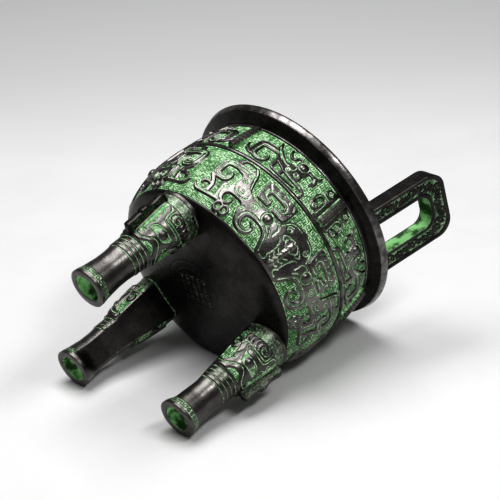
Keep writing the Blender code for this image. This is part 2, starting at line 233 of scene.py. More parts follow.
def belly_relief(s, z):
    """Half of a mask on the belly and the dragon's body behind it, with s running from its nose."""
    face = area_depth(s, z, [
        (-5.0, 86.2), (3.0, 86.2), (7.0, 85.9), (10.6, 86.3), (13.0, 88.4), (14.6, 91.4), (16.3, 94.8), (18.0, 97.4),
        (18.0, 104.0), (15.6, 108.9), (14.2, 110.2), (13.2, 112.8), (11.2, 116.2), (8.0, 118.3), (3.0, 119.0),
        (-5.0, 119.0)])
    jaw_path = [(11.4, 88.4), (13.7, 92.8), (16.2, 96.8), (20.0, 99.3), (26.0, 99.7), (31.2, 99.4), (34.4, 97.6),
                (35.6, 94.2), (34.2, 90.6), (30.8, 88.6), (27.2, 88.8), (24.8, 90.6), (24.3, 92.9), (25.6, 94.8),
                (28.0, 95.7)]
    jaw = band_depth(s, z, jaw_path, (3.6, 3.8, 3.8, 3.8, 3.6, 4.2, 5.2, 5.6, 5.0, 3.2, 2.8, 2.4, 2.0, 1.4, 0.7))
    body = area_depth(s, z, [
        (14.0, 104.0), (15.4, 108.7), (15.4, 108.7), (26.0, 108.8), (38.0, 108.9), (41.4, 110.2), (43.0, 113.2),
        (44.5, 117.4), (45.8, 121.5), (48.0, 124.9), (51.0, 126.6), (55.0, 127.1), (59.4, 126.9), (62.6, 125.5),
        (63.8, 122.8), (63.8, 122.8), (64.0, 117.8), (64.0, 117.8), (60.4, 117.9), (57.0, 116.7), (54.0, 116.0),
        (52.5, 114.0), (52.1, 110.0), (52.5, 106.6), (54.4, 105.0), (57.0, 105.0), (58.3, 103.4), (58.1, 99.0),
        (57.6, 95.0), (56.2, 92.2), (53.0, 91.8), (50.0, 92.6), (48.2, 93.6), (48.8, 94.4), (51.2, 94.9),
        (52.6, 97.0), (51.9, 99.4), (49.6, 100.6), (43.0, 100.5), (40.2, 99.4), (39.8, 96.0), (38.0, 93.0),
        (33.0, 95.0), (32.0, 99.0), (22.0, 99.6), (15.0, 99.6)])
    window = area_depth(s, z, [
        (59.7, 122.7), (59.7, 122.7), (51.4, 122.7), (50.4, 123.7), (51.2, 125.5), (54.0, 126.1), (57.8, 126.0),
        (59.7, 124.8)])
    tail = band_depth(s, z, [
        (52.0, 119.8), (62.0, 119.9), (66.6, 119.6), (68.3, 118.0), (68.7, 114.5), (68.6, 110.6), (67.6, 108.2),
        (64.8, 107.1), (61.0, 107.1), (59.2, 108.3), (58.8, 111.0), (59.6, 113.0)],
        (4.6, 4.6, 4.8, 5.0, 5.2, 5.2, 5.0, 4.6, 4.4, 3.6, 3.2, 2.0))
    horn = area_depth(s, z, [
        (16.6, 110.0), (15.0, 111.4), (14.2, 114.5), (14.0, 119.0), (14.6, 124.2), (15.4, 125.1), (26.0, 125.3),
        (37.3, 125.2), (38.9, 123.6), (38.9, 123.6), (38.4, 119.0), (37.8, 113.0), (37.0, 110.6), (36.0, 110.0),
        (29.2, 110.0), (29.2, 110.0), (28.3, 111.2), (28.1, 113.6), (29.2, 114.9), (31.6, 115.2), (32.7, 116.2),
        (32.6, 118.0), (31.5, 118.9), (22.0, 118.9), (20.6, 118.0), (20.5, 116.2), (21.5, 115.2), (24.0, 115.0),
        (24.9, 114.0), (24.9, 111.4), (24.2, 110.0), (24.2, 110.0)])
    claws = deepest(ring_depth(s, z, (50.4, 89.9), 2.8, 1.7), ring_depth(s, z, (45.6, 89.8), 2.7, 1.5),
                    band_depth(s, z, [(48.2, 94.0), (46.3, 95.4), (45.8, 97.4), (47.0, 99.2)], (1.2, 1.0, 0.7)))
    hook_path = [(76.2, 97.0), (74.2, 94.4), (71.8, 92.8), (68.0, 92.6), (62.0, 92.8), (56.0, 93.0)]
    hook = deepest(band_depth(s, z, hook_path, (0.4, 1.8, 2.2, 2.3, 2.3, 2.4)),
                   band_depth(s, z, [(63.7, 92.8), (63.7, 98.4), (65.0, 101.6), (67.2, 104.0), (69.6, 106.0)],
                              (2.8, 2.8, 2.8, 2.4)),
                   band_depth(s, z, [(64.4, 99.2), (67.5, 99.9), (70.0, 99.6), (71.1, 98.6), (70.5, 97.2)],
                              (1.8, 1.8, 2.2, 2.2, 0.8)))
    depth = deepest(face, jaw, np.minimum(body, -window), tail, horn, claws, hook)
    lines = drawn(s, z, [
        jaw_path[:-2],
        [(34.8, 111.5), (31.2, 111.4), (29.4, 112.2), (29.5, 113.5), (31.6, 114.0), (33.8, 114.6), (34.5, 116.4),
         (34.2, 119.0), (32.6, 120.4), (22.0, 120.4), (19.5, 119.4), (18.4, 117.0), (18.9, 114.8), (20.8, 114.0),
         (23.0, 113.8), (24.1, 112.9), (23.3, 111.7), (19.4, 111.6)],
        [(37.2, 123.9), (34.2, 120.6)], [(30.5, 124.0), (30.5, 121.9), (30.5, 121.9), (28.9, 121.9)],
        [(26.0, 123.6), (26.0, 121.6)], [(21.6, 123.6), (20.4, 122.0)], [(17.6, 123.6), (15.8, 120.8)],
        [(35.6, 119.4), (35.6, 115.4)], [(37.0, 117.6), (35.6, 117.6)], [(16.9, 116.0), (15.3, 117.6)],
        [(25.8, 107.2), (32.0, 107.7), (38.0, 108.2)],
        [(18.0, 107.4), (15.4, 107.2), (13.4, 105.6), (12.8, 103.0), (12.7, 99.8)],
        [(18.2, 101.6), (15.6, 100.2), (13.8, 97.6)],
        [(9.4, 103.4), (7.6, 102.0), (6.2, 98.6), (5.7, 94.0), (6.2, 91.4), (5.2, 90.2), (5.1, 88.4), (6.8, 87.3),
         (9.2, 87.4)],
        [(14.0, 108.6), (12.0, 112.6), (10.2, 115.4), (7.4, 116.9), (3.0, 117.4)],
        [(8.6, 106.2), (7.0, 107.6), (5.0, 108.6)], [(8.4, 105.6), (7.0, 104.2), (5.4, 104.4)],
        [(0.0, 99.0), (2.4, 97.0), (4.6, 99.0)], [(0.0, 95.6), (2.4, 93.6), (4.6, 95.6)],
        [(0.0, 92.2), (2.4, 90.4), (4.0, 91.8)],
        [(0.0, 104.4), (2.2, 102.2), (5.4, 106.0), (2.2, 109.4), (0.0, 107.2)],
        curl((8.5, 111.6), 2.5, 100, -480), curl((33.0, 104.0), 2.8, 190, -600), curl((37.6, 97.6), 1.8, 0, 380),
        curl((49.6, 118.8), 2.1, 200, -500), curl((48.9, 113.0), 2.0, 45, 460), curl((54.4, 102.6), 1.6, -60, 400),
        curl((66.2, 119.6), 1.6, 200, 420),
        [(51.4, 108.6), (50.4, 105.4), (48.4, 103.2), (45.0, 102.4), (41.4, 102.6), (39.6, 104.4), (40.2, 107.0)],
        [(48.6, 107.0), (46.8, 104.9), (44.0, 104.7), (43.6, 106.6), (46.0, 107.3)],
        [(42.8, 111.0), (44.4, 114.0), (45.9, 118.0), (47.3, 121.6), (49.2, 124.0), (51.0, 124.4)],
        [(56.4, 101.5), (56.0, 97.0), (54.6, 94.2), (52.4, 93.2)],
        [(72.8, 94.6), (70.6, 93.1), (66.0, 93.0), (58.0, 93.4)]])
    lines = np.maximum(lines, line_at(tail - 1.25, 0.3) * (tail > 0.4))
    rise, patina = carved(depth, lines)
    low_curls = deepest(band_depth(s, z, curl((60.2, 101.6), 1.7, 110, -400), (1.0, 0.6)),
                        band_depth(s, z, curl((68.0, 96.6), 2.2, 200, 300), (0.9, 0.5)),
                        band_depth(s, z, curl((62.2, 112.4), 1.6, 60, 420), (0.9, 0.5)))
    rise = np.maximum(rise, 0.5 * RELIEF * eased(low_curls / 0.4 + 0.5))
    patina = np.minimum(patina, 1.0 - 0.75 * eased(low_curls / 0.4 + 0.6))
    eye = np.hypot(s - 22.0, z - 104.6)
    rise = np.where(eye < 4.5, RELIEF * 0.6 + dome(eye, 3.3, 1.9), rise)
    patina = np.where(eye < 4.5, 0.9 * line_at(eye - 3.95, 0.42), patina)
    ridge = line_at(s, 1.5) * eased((z - 86.5) / 2.0) * eased((112.0 - z) / 6.0)
    return rise + 0.7 * ridge, patina * (1.0 - 0.9 * line_at(s, 0.7) * (ridge > 0.2))


def frieze_relief(s, z):
    """Half of a sector of the frieze: a dragon with its scroll, blade, snout and collar."""
    scroll_path = [(49.5, 147.0), (62.0, 147.0), (63.9, 145.4), (64.2, 140.0), (63.2, 136.2), (60.0, 134.2),
                   (56.4, 134.0), (54.0, 135.8), (53.6, 138.8), (55.4, 141.2)]
    blade_path = [(56.0, 156.4), (54.0, 151.5), (50.5, 147.2), (46.0, 143.4), (40.0, 141.2), (35.0, 139.8)]
    loop_path = [(6.6, 133.6), (6.6, 143.4), (8.2, 146.0), (11.0, 146.6), (13.0, 144.8), (13.4, 141.5), (13.2, 138.0)]
    from_bar = np.minimum(s - 1.0, np.minimum(5.9 - s, np.minimum(z - 132.4, 157.4 - z)))
    depth = deepest(
        from_bar, band_depth(s, z, scroll_path, (3.0, 3.4, 3.4, 3.4, 3.2, 3.0, 2.8, 2.2, 1.0)),
        band_depth(s, z, [(55.0, 149.9), (63.2, 149.9), (65.8, 149.2), (67.2, 147.0), (67.2, 136.6)], (1.1, 1.3, 1.3)),
        band_depth(s, z, [(72.3, 143.0), (71.4, 139.8), (69.2, 137.0), (66.0, 135.4), (64.0, 135.0)],
                   (0.4, 2.0, 2.4, 2.2)),
        band_depth(s, z, blade_path, (0.4, 2.8, 4.6, 5.8, 7.0, 6.0)),
        band_depth(s, z, [
            (47.2, 156.4), (45.4, 152.6), (43.2, 150.6), (40.8, 151.2), (40.0, 153.6), (37.8, 154.4), (36.0, 153.0)],
            (0.8, 1.8, 2.2, 2.0, 1.6, 1.4, 0.8)),
        band_depth(s, z, [(39.0, 144.0), (35.0, 143.6), (32.0, 146.0), (31.0, 149.0)], (5.4, 7.0, 7.0)),
        ring_depth(s, z, (33.0, 150.5), 2.0, 5.4), ring_depth(s, z, (32.2, 141.5), 1.6, 4.6),
        band_depth(s, z, [(48.4, 142.5), (48.0, 138.6), (47.0, 134.6), (42.0, 133.4), (34.0, 133.2), (28.0, 133.8)],
                   (2.6, 2.6, 2.0, 1.4, 1.6, 1.2)),
        band_depth(s, z, [(40.0, 138.8), (33.0, 137.4), (24.0, 136.6), (21.0, 135.4), (20.4, 132.8)],
                   (3.0, 2.8, 2.6, 2.4, 1.8)),
        band_depth(s, z, [(40.4, 139.0), (40.0, 134.0)], (2.4, 1.8)),
        band_depth(s, z, [(30.0, 151.2), (25.0, 151.1), (21.8, 149.6), (20.9, 146.4), (22.6, 143.4)],
                   (3.6, 3.4, 3.2, 2.6, 0.5)),
        band_depth(s, z, [(23.4, 151.6), (20.9, 152.4), (19.8, 155.6)], (2.4, 1.6, 0.4)),
        band_depth(s, z, loop_path, (2.4, 2.4, 2.6, 2.4, 2.0)), ring_depth(s, z, (10.6, 136.8), 1.5, 2.6),
        np.minimum(area_depth(s, z, [
            (5.6, 150.0), (11.4, 150.0), (11.8, 152.6), (11.0, 155.6), (8.4, 156.2), (5.6, 156.0)]), 2.0))
    lines = drawn(s, z, [
        scroll_path, loop_path[:-1], blade_path[1:4],
        [(52.0, 149.0), (47.6, 145.4), (43.0, 143.0), (40.4, 143.0)], curl((39.0, 140.2), 1.9, 60, 440),
        curl((32.2, 141.5), 2.2, 180, 420, 0.8), [(36.0, 147.2), (35.4, 144.0), (36.6, 141.6)],
        [(37.6, 137.6), (33.0, 136.9), (24.4, 136.2)], [(29.0, 152.2), (23.6, 152.0)], [(22.8, 149.6), (21.4, 146.8)],
        curl((10.6, 136.8), 1.9, 90, -430, 0.4), curl((8.6, 153.0), 1.9, 200, 500, 0.4),
        [(3.2, 133.5), (3.2, 156.4)], [(42.8, 151.4), (40.9, 152.6)]])
    rise, patina = carved(depth, lines, 1.15)
    eye = np.hypot(s - 33.0, z - 150.5)
    rise = np.where(eye < 4.1, 0.6 + dome(eye, 3.2, 1.9), rise)
    patina = np.where(eye < 4.1, 0.85 * line_at(eye - 3.7, 0.36), patina)
    return rise, patina


def leg_relief(t, z):
    """Half of a leg's mask, with t running round from the flange."""
    top = 71.6 - 0.16 * np.clip(t - 12.0, 0.0, 20.0)
    horn, horn_arcs = (14.6, 67.0), 67.2
    depth = np.minimum(z - MASK_BOTTOM - 0.4, top - z)
    mouth = area_depth(t, z, [
        (8.6, 41.2), (10.4, 43.4), (13.6, 45.6), (18.0, 45.8), (22.0, 43.2), (23.4, 41.2), (23.4, 41.2)])
    cheek = deepest(1.6 - np.hypot((t - 26.4) / 1.4, z - 50.4),
                    band_depth(t, z, [(23.4, 62.0), (22.6, 57.4), (24.4, 53.0)], (1.0, 1.0)))
    eye_ground = np.minimum(area_depth(t, z, [
        (7.6, 51.8), (8.8, 55.0), (12.4, 56.8), (19.2, 56.9), (21.2, 57.0), (19.4, 52.0), (13.4, 51.6)]), 0.5)
    horn_lines = deepest(band_depth(t, z, curl(horn, 3.0, 60, 420, 0.9), (1.4, 1.1)),
                         *(band_depth(t, z, curl((middle, horn_arcs), reach, -50, 100, reach), (1.2, 1.2))
                           for middle, reach in ((14.8, 3.6), (16.8, 4.4), (19.3, 4.6), (21.9, 4.8))))
    horn_ground = np.minimum(band_depth(t, z, [(13.6, 67.2), (30.0, 67.4)], (7.6, 7.0)), 0.2 - horn_lines)
    ear = 2.4 - np.hypot(t - 29.4, (z - 58.8) / 1.35)
    side_ground = np.minimum(area_depth(t, z, [(25.6, 46.8), (36.0, 46.8), (36.0, 65.0), (28.4, 63.0), (25.6, 57.0)]),
                             0.2 - ear)
    green = deepest(mouth, cheek, horn_ground - 0.3, side_ground)
    depth = np.minimum(depth, 0.35 - green)
    lines = drawn(t, z, [
        [(1.6, 44.2), (7.6, 43.4), (10.8, 45.8), (14.0, 48.6), (18.0, 48.8), (22.6, 46.0), (27.0, 44.0), (33.0, 44.0)],
        [(2.6, 44.0), (2.6, 71.0)],
        [(10.0, 70.8), (10.0, 65.0), (12.0, 62.9), (23.0, 63.2), (29.0, 65.0), (33.0, 68.0)],
        [(5.0, 71.4), (8.2, 69.4), (8.6, 64.0), (11.0, 61.0), (21.4, 61.0), (22.6, 58.6)],
        [(7.0, 51.6), (8.2, 55.2), (12.0, 57.2), (20.0, 57.3), (22.4, 59.2)],
        [(7.0, 51.6), (12.8, 51.4), (18.8, 51.8), (21.2, 57.0)],
        curl((5.4, 47.6), 1.7, 0, 400), curl((29.4, 59.2), 1.3, 180, -320), [(25.6, 63.4), (27.4, 58.0), (26.6, 54.2)],
        curl((24.4, 50.6), 2.0, 100, 330), [(5.4, 60.6), (7.0, 57.4), (5.2, 54.4)],
        [(4.6, 66.6), (6.6, 64.2), (5.0, 61.8)],
        curl(horn, 3.9, 60, 420, 0.9),
        *(curl((middle, horn_arcs), reach, -50, 100, reach)
          for middle, reach in ((15.6, 4.2), (18.0, 4.6), (20.6, 4.8), (23.2, 4.8)))], 0.34)
    rise, patina = carved(depth, lines, 0.9)
    sunk_eye = eased(eye_ground / 0.4)
    rise, patina = rise - 0.35 * sunk_eye, np.maximum(patina, 0.5 * sunk_eye)
    by_flange = eased(np.minimum(t - 2.6, 5.6 - t) / 0.8) * eased((z - 45.0) / 1.5) * eased((top - z) / 1.0)
    rise, patina = rise - 0.3 * by_flange, np.maximum(patina, 0.55 * by_flange)
    boss = np.hypot(t - 15.4, z - 54.4)
    rise = np.where(boss < 3.0, 0.55 + dome(boss, 2.6, 1.2), rise)
    patina = np.where(boss < 3.0, 0.0, patina)
    patina = np.where(z > top, np.minimum(patina, 0.43 - 0.06 * (z - top) / 8.0), patina)
    rise = np.where(z > MASK_TOP - 1.6, 0.5, rise)
    patina = np.where(z > MASK_TOP - 1.6, 0.25, patina)
    return rise, patina


def handle_relief(length, width):
    """The face of a handle: borders at both edges and curls in the sunk panel between them."""
    from_edge = np.minimum(width, HANDLE_BAR - width)
    border = 0.75 * (1.0 - eased((from_edge - 1.7) / 0.5))
    pitch = 11.0
    number = np.floor(length / pitch)
    u = length - (number + 0.5) * pitch
    flip = np.where(number % 2 == 0, 1.0, -1.0)
    v = (width - HANDLE_BAR / 2) * flip
    scroll = deepest(band_depth(u, v, curl((-1.6, 0.1), 2.7, 200, -440, 0.7), (1.3, 1.5, 1.2)),
                     band_depth(u, v, [(-4.4, -0.6), (-5.4, 2.4)], (1.3, 1.0)),
                     band_depth(u, v, curl((3.6, -0.6), 2.0, 30, 330, 0.6), (1.1, 1.3, 1.0)),
                     band_depth(u, v, [(5.4, 0.2), (3.6, 2.6), (0.6, 3.0)], (1.2, 1.0)))
    raised = eased(scroll / 0.5 + 0.5) * (from_edge > 1.8)
    rise = np.maximum(border, 0.62 * raised)
    patina = np.where(from_edge > 2.1, 0.46 * (1.0 - raised), 0.0)
    return rise, patina


# The surfaces that carry the ornament

def bowl_radius(z):
    """The bowl's outer radius between its lower edge and its neck."""
    above = np.clip((z - BELLY_HEIGHT) / (NECK_HEIGHT - BELLY_HEIGHT), 0.0, 1.0)
    below = np.clip((BELLY_HEIGHT - z) / (BELLY_HEIGHT - EDGE_HEIGHT), 0.0, 1.0)
    return BELLY_RADIUS - (BELLY_RADIUS - NECK_RADIUS) * above ** 2 - (BELLY_RADIUS - EDGE_RADIUS) * below ** 2


def base_height(radius, edge=EDGE_RADIUS):
    """The height of the rounded base at a radius."""
    share = np.clip(radius / edge, 0.0, 1.0)
    return EDGE_HEIGHT - BASE_DEPTH * np.sqrt(1.0 - share ** 2)


def skin(name, columns, rows, shape):
    """A closed piece from a flat grid. shape(column, row) gives every point's x, y and z, its patina, and
    its place: millimetres across and up the ornament, and 1 in a recess or down to -1 where lighter metal is painted
    on, partly wear and partly a painted highlight."""
    bm = bmesh.new()
    bmesh.ops.create_grid(bm, x_segments=columns, y_segments=rows, size=0.5)
    mesh = bpy.data.meshes.new(name)
    bm.to_mesh(mesh)
    bm.free()
    mesh.shade_smooth()
    flat = np.empty(3 * len(mesh.vertices), np.float32)
    mesh.vertices.foreach_get("co", flat)
    grid = flat.reshape(-1, 3)
    column = np.rint((grid[:, 0] + 0.5) * columns).astype(int)
    row = np.rint((grid[:, 1] + 0.5) * rows).astype(int)
    x, y, z, patina, across, up, recess = shape(column, row)
    mesh.vertices.foreach_set("co", (np.stack([x, y, z], 1) * MM).astype(np.float32).ravel())
    worn = mesh.attributes.new("patina", "FLOAT", "POINT")
    worn.data.foreach_set("value", np.clip(patina, 0.0, 1.0).astype(np.float32))
    place = mesh.attributes.new("place", "FLOAT_VECTOR", "POINT")
    place.data.foreach_set("vector", np.stack([across, up, recess], 1).astype(np.float32).ravel())
    bm = bmesh.new()
    bm.from_mesh(mesh)
    bmesh.ops.remove_doubles(bm, verts=bm.verts, dist=0.002 * MM)
    bmesh.ops.dissolve_degenerate(bm, edges=bm.edges, dist=0.002 * MM)
    for end in bmesh.ops.holes_fill(bm, edges=[edge for edge in bm.edges if edge.is_boundary])["faces"]:
        for edge in end.edges:
            edge.smooth = False
    bmesh.ops.recalc_face_normals(bm, faces=bm.faces)
    bm.to_mesh(mesh)
    bm.free()
    return bpy.data.objects.new(name, mesh)


def about_axis(out, across, azimuth):
    """The x and y of a place that lies out from the bowl's axis and across from an azimuth."""
    turn = math.radians(azimuth)
    return out * math.cos(turn) - across * math.sin(turn), out * math.sin(turn) + across * math.cos(turn)


def turned(piece, name, degrees):
    """A copy of a piece, turned about the bowl's axis in its mesh."""
    mesh = piece.data.copy()
    mesh.name = name
    mesh.transform(Matrix.Rotation(math.radians(degrees), 4, "Z"))
    return bpy.data.objects.new(name, mesh)


def ornament_band(name, low, high, rows, relief):
    """A third of a ring of the bowl's wall, closed inside the wall, with a mask at its middle."""
    half = BAND_COLUMNS // 2
    z_rows = np.linspace(low, high, rows + 1)
    s, z = np.meshgrid(np.linspace(0.0, HALF_LENGTH, half + 1), z_rows)
    rise, patina = relief(s, z + RELIEF_LIFT)
    from_edge = np.minimum(z - low, high - z)
    rise, patina = rise * eased(from_edge / 1.2), patina * eased(from_edge / 0.5)

    def shape(column, row):
        angle = np.radians(MASK_AZIMUTH + HALF_SECTOR * (column / half - 1.0))
        at = np.where(row > rows + 1, 0, np.minimum(row, rows))
        sunk = (row == rows + 1) | (row == rows + 2)
        z_out = z_rows[at]
        mirrored = np.abs(column - half)
        rise_here = rise[at, mirrored]
        radius = bowl_radius(z_out) + np.where(sunk, -BAND_SINK, rise_here)
        # Lighter metal on the high relief, partly wear and partly a painted highlight on the raised shapes
        lighter_metal = -RELIEF_WEAR_AND_HIGHLIGHT * np.clip(rise_here / RELIEF, 0.0, 1.0)
        return (radius * np.cos(angle), radius * np.sin(angle), z_out, patina[at, mirrored],
                s[0][mirrored], z_out, lighter_metal)
    return skin(name, BAND_COLUMNS, rows + 3, shape)


def base_marks(x, y):
    """Shallow casting rings and rows of short strokes near the middle of the base."""
    radius = np.hypot(x, y)
    rings = sum(line_at(radius - ring, 0.5) for ring in CASTING_RINGS)
    strokes = np.zeros(x.shape)
    for line in range(5):
        for place in range(4):
            u, v = x - 5.0 * (line - 2), y - 6.0 * (place - 1.5)
            lean = 1.0 if (line + place) % 2 else -1.0
            mark = drawn(u, v, [[(-1.5, 1.4 * lean), (1.5, 1.8 * lean)], [(0.2, 1.9), (-0.1 * lean, -1.9)],
                                [(-1.3, -0.6), (1.2 * lean, -1.5)]], 0.4)
            strokes = np.maximum(strokes, mark)
    return 0.5 * rings * (y < 2.0), strokes


def plain_shell():
    """All of the bowl but its ornament bands: base, rib, neck, lip and the inside."""
    def on_wall(z, proud=-SHELL_SINK):
        return bowl_radius(z) + proud, z

    base_radii = np.concatenate([np.arange(0.0, 26.0, 0.5), np.linspace(26.0, 60.0, 18),
                                 (62.0, 64.0, 65.6, 66.8, 67.6, 68.1, EDGE_RADIUS)])
    base = [(radius, base_height(radius)) for radius in base_radii]
    walls = [(EDGE_RADIUS - 0.1, EDGE_HEIGHT + 0.15), (EDGE_RADIUS - SHELL_SINK, EDGE_HEIGHT + 0.8)]
    walls += [on_wall(z) for z in np.linspace(EDGE_HEIGHT + 2.0, RIB_LOW - 0.6, 8)]
    walls += [on_wall(RIB_LOW), on_wall(RIB_LOW, 0.1)]
    walls += [on_wall(RIB_LOW + RIB_WIDTH * share, 0.1 + RIB_PROUD * math.sin(math.pi * share) ** 0.5)
              for share in np.linspace(0.0, 1.0, 9)]
    walls += [on_wall(z) for z in (RIB_HIGH, *np.linspace(RIB_HIGH + 1.0, NECK_HEIGHT - 2.4, 5))]
    walls += [(NECK_RADIUS + 0.1 + NECK_PROUD * math.sin(math.pi * min(share, 0.9)) ** 0.7,
               NECK_HEIGHT - 1.6 + 2.0 * share) for share in np.linspace(0.0, 1.0, 7)]
    under_lip = np.array((NECK_RIDGE_RADIUS, NECK_HEIGHT + 1.0))
    lip_low = np.array((LIP_RADIUS - LIP_LEAN, RIM_HEIGHT - LIP_EDGE))
    walls += [(NECK_RIDGE_RADIUS - 0.6, NECK_HEIGHT + 0.7), (NECK_RIDGE_RADIUS + 0.6, NECK_HEIGHT + 1.0)]
    walls += [tuple(under_lip + (lip_low - under_lip) * share) for share in (0.35, 0.7, 0.92)]
    walls += [tuple(lip_low + (-0.15, -0.05)), tuple(lip_low + (0.12, 0.3))]
    walls += [(LIP_RADIUS - inward, RIM_HEIGHT - down)
              for inward, down in ((0.8, 2.4), (0.15, 0.5), (0.5, 0.02), (1.2, 0.0))]
    walls += [(NECK_RADIUS - WALL + 0.8, RIM_HEIGHT), (NECK_RADIUS - WALL + 0.1, RIM_HEIGHT - 0.4)]
    inside = [on_wall(z, -WALL) for z in np.linspace(RIM_HEIGHT - 1.5, EDGE_HEIGHT + 6.0, 26)]
    edge = EDGE_RADIUS - WALL
    inside += [(edge * share, base_height(edge * share, edge) + FLOOR_THICKNESS)
               for share in (0.997, 0.985, 0.96, 0.92, 0.86, 0.78, 0.68, 0.56, 0.42, 0.27, 0.13, 0.0)]
    profile = np.array(base + walls + inside)

    def shape(column, row):
        angle = 2 * math.pi * column / SHELL_COLUMNS
        radius, z = profile[row, 0], profile[row, 1]
        x, y = radius * np.cos(angle), radius * np.sin(angle)
        marked = (row < len(base)) & (radius < 25.0)
        rings, strokes = base_marks(x, y)
        z = z + np.where(marked, 0.18 * rings + 0.28 * strokes, 0.0)
        patina = np.where(marked, 0.30 * rings + 0.44 * strokes, 0.0)
        # Lighter metal on the lip's edge, the rib and the neck ridge: on the lip partly wear and partly a painted sheen
        # band, on the rib and the ridge a painted highlight
        on_lip = (radius > LIP_RADIUS - 1.9) & (z > RIM_HEIGHT - LIP_EDGE - 0.2) & (z < RIM_HEIGHT - 0.1)
        on_rib = (np.abs(z - RIB_HEIGHT) < RIB_WIDTH / 2) & (radius > bowl_radius(z))
        on_ridge = (np.abs(z - NECK_HEIGHT + 0.4) < 1.0) & (radius > NECK_RADIUS + 0.9)
        lighter_metal = LIP_WEAR_AND_SHEEN * on_lip + RIB_PAINTED_HIGHLIGHT * on_rib + RIDGE_PAINTED_HIGHLIGHT * on_ridge
        return x, y, z, patina, radius * angle, z, -lighter_metal
    return skin("bowl_shell", SHELL_COLUMNS, len(profile) - 1, shape)


def foot_band(t, z):
    """Squares and a line round the foot, just above its edge."""
    across, up = np.abs((t % SQUARE_PITCH) - SQUARE_PITCH / 2), np.abs(z - SQUARE_HEIGHT)
    squares = line_at(np.maximum(across, 0.8 * up) - 1.3, 0.3) + line_at(np.maximum(across, up) - 0.4, 0.3)
    return 0.6 * np.minimum(squares, 1.0) * (up < 2.2) + 0.4 * line_at(z - 6.9, 0.3)


def leg(name, azimuth):
    """A leg from the recess in its foot to its shoulder inside the base. Its first columns go round the
    outer side from corner to corner, and the last ones go back over the flat side."""
    foot = [(5.0, 0.0), (5.0, 0.3), (4.7, 0.5), (3.0, 0.58), (0.8, 0.63), (0.1, 0.68), (0.0, 0.71), (0.0, 0.94)]
    heights = np.concatenate([np.linspace(0.3, 8.5, 20), np.linspace(9.6, 28.0, 14), np.linspace(28.6, 40.6, 40),
                              np.linspace(40.9, 81.4, 124)])
    z_rows = np.array([z for z, _ in foot] + list(heights) + [83.0, 84.0])
    spread_rows = np.array([spread for _, spread in foot] + [1.0] * len(heights) + [0.6, 0.0])
    corner = math.radians(CORNER_DEGREES)

    def shape(column, row):
        share = np.minimum(column / ROUND_COLUMNS, 1.0)
        chord = np.maximum(column - ROUND_COLUMNS, 0) / FLAT_COLUMNS
        angle = corner * (2 * share - 1) + 2 * (math.pi - corner) * chord
        z, spread = z_rows[row], spread_rows[row]
        on_round, on_foot = column <= ROUND_COLUMNS, row < len(foot)
        in_recess = on_foot & (spread < 0.66)
        t = np.abs(angle) * LEG_PLACE_RADIUS
        rise, patina = leg_relief(t, z)
        masked = (z > MASK_BOTTOM) & ~on_foot & on_round
        near_corner = eased((corner - np.abs(angle)) * LEG_PLACE_RADIUS / 1.6)
        grooves = sum(line_at(z - groove, 0.3) for groove in KNEE_GROOVES) * on_round
        rise = np.where(masked, rise * near_corner, 0.0) - 0.5 * grooves * ~on_foot
        low = (0.72 * grooves + foot_band(t, z) * on_round) * (z <= MASK_BOTTOM)
        green = np.where(masked, patina * near_corner, low)
        green = np.where(on_foot, np.where(in_recess, 1.0, 0.12), green)
        round_radius = np.interp(z, *zip(*ROUND_SIDE)) + rise
        radius = np.where(on_round | (z < FOOT_TOP), round_radius, np.interp(z, *zip(*FLAT_SIDE)))
        radius = np.where(on_foot, FOOT_RADIUS, radius) * spread
        across, out = radius * np.sin(angle), radius * np.cos(angle)
        flatness = np.where(on_round, 0.0, eased((z - 2.0) / 9.0))
        across = across + (radius * math.sin(corner) * (1 - 2 * chord) - across) * flatness
        out = out + (radius * math.cos(corner) - out) * flatness
        lumps = 0.5 * np.sin(3 * angle + azimuth) * (spread > 0.2) * (spread < 0.7) * on_foot
        out = LEG_REACH + out + lumps
        distance = np.hypot(out, across)
        base = base_height(distance)
        z_out = np.where(z > 45.0, np.minimum(z, base + 1.6), z)
        seam = 0.9 * eased((z - base + 1.3) / 0.6) * (np.abs(angle) > 1.9) * (distance < 54.0) * ~on_foot
        return (*about_axis(out, across, azimuth), z_out, np.maximum(green, seam), t, z, 1.0 * in_recess)
    return skin(name, ROUND_COLUMNS + FLAT_COLUMNS, len(z_rows) - 1, shape)


def handle_arch(half_width, top, corner, share):
    """A place on an arch, where share counts 0 to 5 over side, corner, top, corner and side."""
    flat = half_width - corner
    mirrored = np.where(share > 2.5, 5.0 - share, share)
    side = np.clip(mirrored, 0.0, 1.0)
    bend = np.clip(mirrored - 1.0, 0.0, 1.0) * math.pi / 2
    over = np.clip((mirrored - 2.0) / 0.5, 0.0, 1.0)
    across = flat + corner * np.cos(bend) - flat * over
    rise = -HANDLE_SINK + (top - corner + HANDLE_SINK) * side + corner * np.sin(bend)
    return np.where(share > 2.5, -across, across), rise


